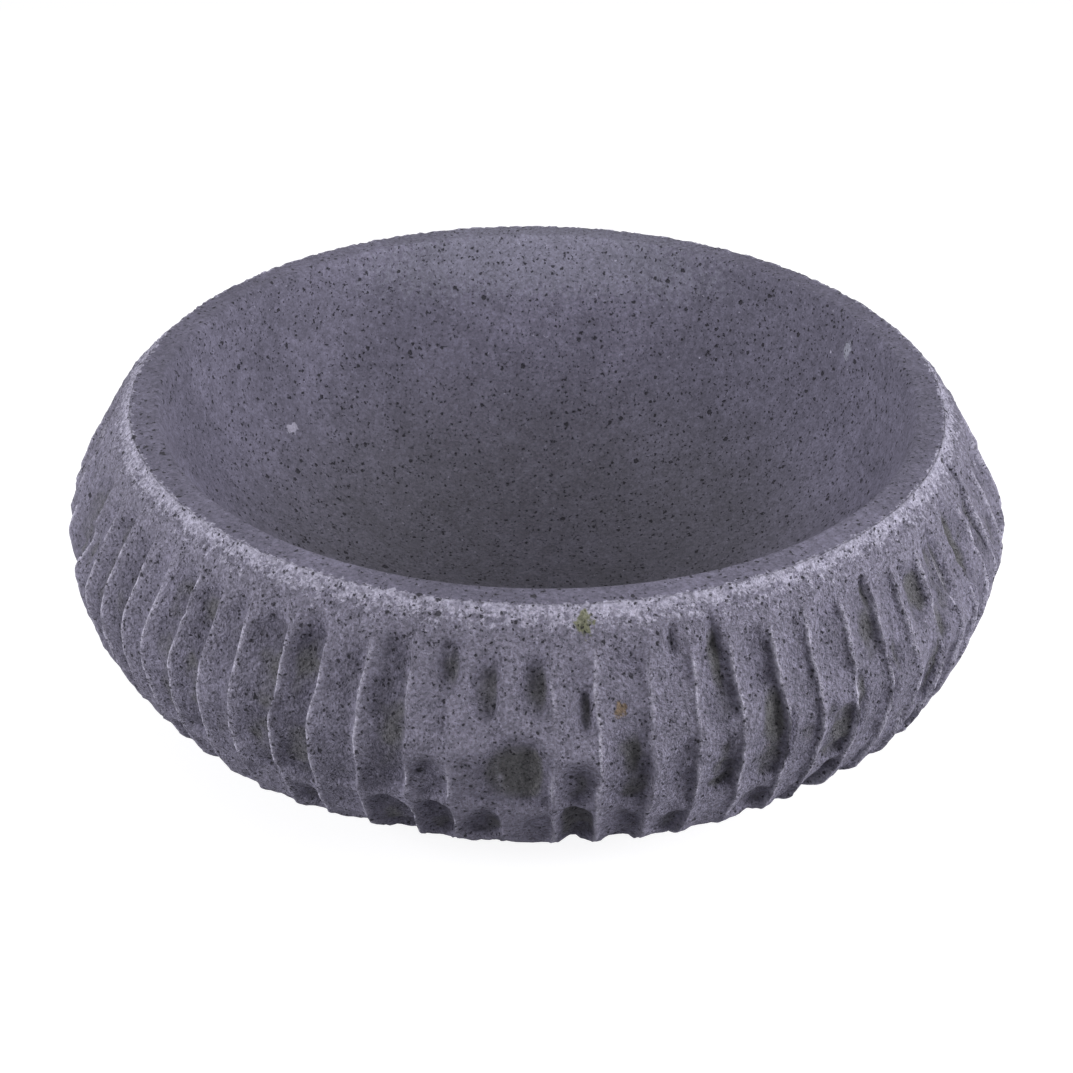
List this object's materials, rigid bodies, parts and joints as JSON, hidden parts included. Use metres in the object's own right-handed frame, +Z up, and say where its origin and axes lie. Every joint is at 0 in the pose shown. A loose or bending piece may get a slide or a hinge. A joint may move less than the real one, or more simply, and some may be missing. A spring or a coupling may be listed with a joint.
{
  "type": "stone bowl planter",
  "caption": "Low round planter carved from one stone block: honed dished hollow, flat rim, chisel-fluted belly turned under to a flat base with a central drain hole.",
  "frame": {"origin": "middle of the base, on the surface that the bowl stands on", "axes": "+Z up along the bowl's axis, out of the mouth; -Y towards the side that the picture shows"},
  "size_m": [0.4483, 0.4473, 0.15],
  "materials": {
    "hewn_stone": "hewn and honed andesite, matt, dark grey with a violet cast, pale where the hammer bruised it"
  },
  "bodies": {
    "root": {"stone_bowl": "hewn_stone"}
  },
  "joints": []
}
